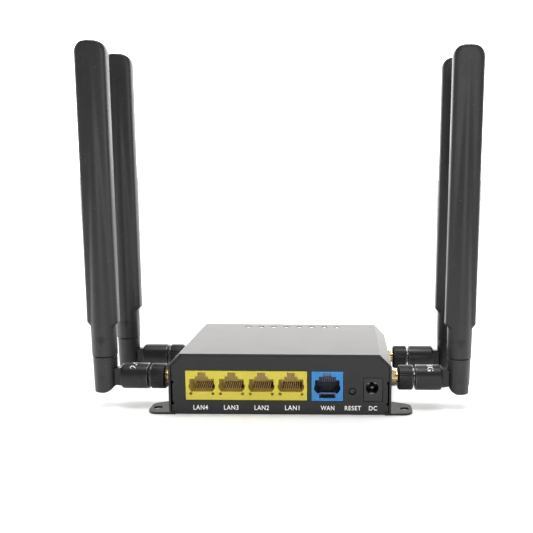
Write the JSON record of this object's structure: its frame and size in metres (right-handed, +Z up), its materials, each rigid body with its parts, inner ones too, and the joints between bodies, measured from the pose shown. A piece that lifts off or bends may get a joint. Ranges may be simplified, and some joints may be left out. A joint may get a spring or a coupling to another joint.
{
  "type": "wireless router",
  "caption": "Black sheet metal wireless router with network sockets, a power jack, mounting ears and swivelling paddle antennas on both sides.",
  "frame": {"origin": "middle of the underside of the case", "axes": "+X to the right seen from the socket side, +Y from the socket side to the rear, +Z up"},
  "size_m": [0.1896, 0.07, 0.174],
  "materials": {
    "case_coat": "satin black powder coat",
    "black_screw": "black oxide",
    "bright_steel": "bright plated steel",
    "board_green": "solder mask",
    "socket_yellow": "moulded yellow",
    "socket_blue": "moulded blue",
    "contact_gold": "gold plated",
    "black_plastic": "moulded black",
    "chip_black": "moulded package",
    "sink_aluminium": "plain",
    "ferrite": "sintered",
    "led_body": "clear lens",
    "clear_guide": "clear moulded light guide",
    "cable_black": "jacket",
    "white_insulator": "insulator",
    "connector_gold": "gold plated brass",
    "antenna_plastic": "satin moulded black",
    "core_metal": "nickel plated",
    "radiator_copper": "thin copper clad board"
  },
  "bodies": {
    "case": {"base_tray": "case_coat", "top_cover": "case_coat", "cover_screws": "black_screw", "board_standoffs": "bright_steel", "board_screws": "bright_steel", "main_board": "board_green", "lan_jack_block": "socket_yellow", "lan_contacts": "contact_gold", "wan_jack": "socket_blue", "wan_contacts": "contact_gold", "dc_jack": "black_plastic", "dc_center_pin": "bright_steel", "reset_switch": "black_plastic", "processor": "chip_black", "heat_sink": "sink_aluminium", "memory_chips": "chip_black", "radio_shields": "bright_steel", "ethernet_transformers": "chip_black", "capacitors": "sink_aluminium", "inductors": "ferrite", "board_leds": "led_body", "light_guide": "clear_guide", "coax_plugs": "contact_gold", "coax_pigtails": "cable_black", "sma_jacks": "connector_gold", "sma_insulators": "white_insulator", "sma_washers": "connector_gold", "sma_lock_nuts": "connector_gold", "front_right_core": "core_metal", "front_left_core": "core_metal", "rear_right_core": "core_metal", "rear_left_core": "core_metal"},
    "reset_button": {"reset_button": "black_plastic"},
    "front_right_nut": {"front_right_nut": "antenna_plastic"},
    "front_right_swivel": {"front_right_base": "antenna_plastic"},
    "front_right_arm": {"front_right_pin": "bright_steel", "front_right_knuckle": "antenna_plastic", "front_right_paddle": "antenna_plastic", "front_right_radiator": "radiator_copper"},
    "front_left_nut": {"front_left_nut": "antenna_plastic"},
    "front_left_swivel": {"front_left_base": "antenna_plastic"},
    "front_left_arm": {"front_left_pin": "bright_steel", "front_left_knuckle": "antenna_plastic", "front_left_paddle": "antenna_plastic", "front_left_radiator": "radiator_copper"},
    "rear_right_nut": {"rear_right_nut": "antenna_plastic"},
    "rear_right_swivel": {"rear_right_base": "antenna_plastic"},
    "rear_right_arm": {"rear_right_pin": "bright_steel", "rear_right_knuckle": "antenna_plastic", "rear_right_paddle": "antenna_plastic", "rear_right_radiator": "radiator_copper"},
    "rear_left_nut": {"rear_left_nut": "antenna_plastic"},
    "rear_left_swivel": {"rear_left_base": "antenna_plastic"},
    "rear_left_arm": {"rear_left_pin": "bright_steel", "rear_left_knuckle": "antenna_plastic", "rear_left_paddle": "antenna_plastic", "rear_left_radiator": "radiator_copper"}
  },
  "joints": [
    {"name": "reset_press", "type": "slide", "parent": "case", "child": "reset_button", "axis": [0, 1, 0], "range_m": [0, 0.0008], "stiffness_N_per_m": 1200, "springref_m": -0.0004},
    {"name": "front_right_nut_turn", "type": "hinge", "parent": "case", "child": "front_right_nut", "pos_m": [0.05325, -0.0205, 0.015], "axis": [1, 0, 0], "continuous": true},
    {"name": "front_right_swivel_turn", "type": "hinge", "parent": "case", "child": "front_right_swivel", "pos_m": [0.05325, -0.0205, 0.015], "axis": [1, 0, 0], "range_deg": [-10, 90]},
    {"name": "front_right_elbow", "type": "hinge", "parent": "front_right_swivel", "child": "front_right_arm", "pos_m": [0.08725, -0.0205, 0.015], "axis": [0, 1, 0], "range_deg": [0, 90]},
    {"name": "front_left_nut_turn", "type": "hinge", "parent": "case", "child": "front_left_nut", "pos_m": [-0.05325, -0.0205, 0.015], "axis": [1, 0, 0], "continuous": true},
    {"name": "front_left_swivel_turn", "type": "hinge", "parent": "case", "child": "front_left_swivel", "pos_m": [-0.05325, -0.0205, 0.015], "axis": [1, 0, 0], "range_deg": [-10, 90]},
    {"name": "front_left_elbow", "type": "hinge", "parent": "front_left_swivel", "child": "front_left_arm", "pos_m": [-0.08725, -0.0205, 0.015], "axis": [0, -1, 0], "range_deg": [0, 90]},
    {"name": "rear_right_nut_turn", "type": "hinge", "parent": "case", "child": "rear_right_nut", "pos_m": [0.05325, 0.0205, 0.015], "axis": [1, 0, 0], "continuous": true},
    {"name": "rear_right_swivel_turn", "type": "hinge", "parent": "case", "child": "rear_right_swivel", "pos_m": [0.05325, 0.0205, 0.015], "axis": [1, 0, 0], "range_deg": [-90, 10]},
    {"name": "rear_right_elbow", "type": "hinge", "parent": "rear_right_swivel", "child": "rear_right_arm", "pos_m": [0.08725, 0.0205, 0.015], "axis": [0, 1, 0], "range_deg": [0, 90]},
    {"name": "rear_left_nut_turn", "type": "hinge", "parent": "case", "child": "rear_left_nut", "pos_m": [-0.05325, 0.0205, 0.015], "axis": [1, 0, 0], "continuous": true},
    {"name": "rear_left_swivel_turn", "type": "hinge", "parent": "case", "child": "rear_left_swivel", "pos_m": [-0.05325, 0.0205, 0.015], "axis": [1, 0, 0], "range_deg": [-90, 10]},
    {"name": "rear_left_elbow", "type": "hinge", "parent": "rear_left_swivel", "child": "rear_left_arm", "pos_m": [-0.08725, 0.0205, 0.015], "axis": [0, -1, 0], "range_deg": [0, 90]}
  ]
}
